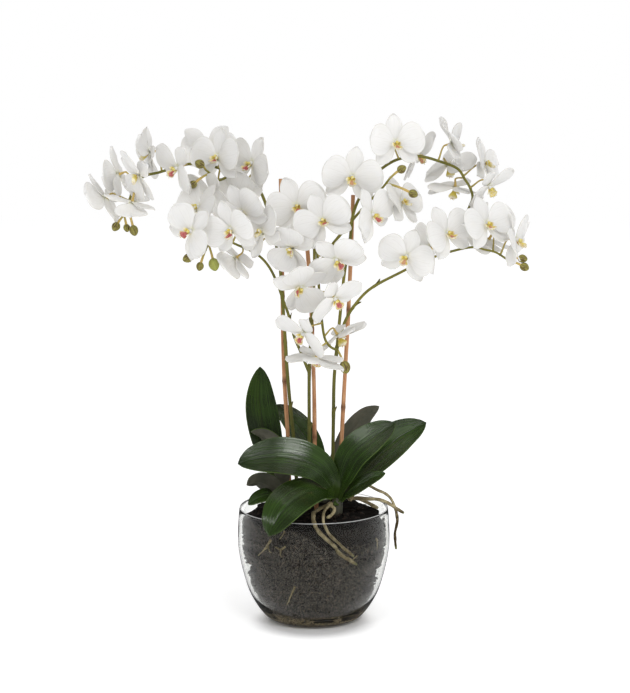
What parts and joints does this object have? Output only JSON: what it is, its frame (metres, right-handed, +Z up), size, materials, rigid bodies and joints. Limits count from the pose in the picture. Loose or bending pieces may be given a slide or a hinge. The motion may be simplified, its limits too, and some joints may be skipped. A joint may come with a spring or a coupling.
{
  "type": "moth orchid in vase",
  "caption": "White moth orchids on three arching flower stems, tied up to slim bamboo stakes and planted with strap leaves and aerial roots in a clear bellied vase of dark potting mix.",
  "frame": {"origin": "middle of the vase's flat base", "axes": "+Z up along the vase's axis, -Y towards the front of the arrangement, +X to its right"},
  "size_m": [0.6931, 0.2804, 0.7975],
  "materials": {
    "glass": "clear, polished",
    "bamboo": "dull, split cane",
    "petal": "soft matte petal",
    "stem": "smooth, slightly waxy",
    "leaf": "glossy, waxy",
    "root": "dull, velvety",
    "mix": "rough, moist"
  },
  "bodies": {
    "root": {"vase": "glass", "stake_left": "bamboo", "stake_middle": "bamboo", "stake_right": "bamboo", "bloom_a1": "petal", "bloom_a2": "petal", "bloom_a3": "petal", "bloom_a4": "petal", "bloom_a5": "petal", "bloom_a6": "petal", "bloom_a7": "petal", "bloom_a8": "petal", "bloom_a9": "petal", "bloom_a10": "petal", "bloom_a11": "petal", "bloom_b1": "petal", "bloom_b2": "petal", "bloom_b3": "petal", "bloom_b4": "petal", "bloom_b5": "petal", "bloom_b6": "petal", "bloom_c1": "petal", "bloom_c2": "petal", "bloom_c3": "petal", "bloom_c4": "petal", "bloom_c5": "petal", "bloom_c6": "petal", "bloom_c7": "petal", "bloom_c8": "petal", "bloom_c9": "petal", "bloom_d1": "petal", "bloom_d2": "petal", "bloom_d3": "petal", "bloom_d4": "petal", "bloom_d5": "petal", "bloom_d6": "petal", "bloom_d7": "petal", "bloom_d8": "petal", "bloom_d9": "petal", "bloom_e1": "petal", "bloom_e2": "petal", "bloom_e3": "petal", "bloom_e4": "petal", "bloom_e5": "petal", "bloom_e6": "petal", "bloom_g1": "petal", "bloom_g2": "petal", "flower_stem_left": "stem", "flower_stem_middle": "stem", "flower_stem_right": "stem", "leaves_left": "leaf", "leaves_right": "leaf", "leaves_back": "leaf", "roots_right": "root", "roots_front": "root", "potting_mix": "mix"}
  },
  "joints": []
}
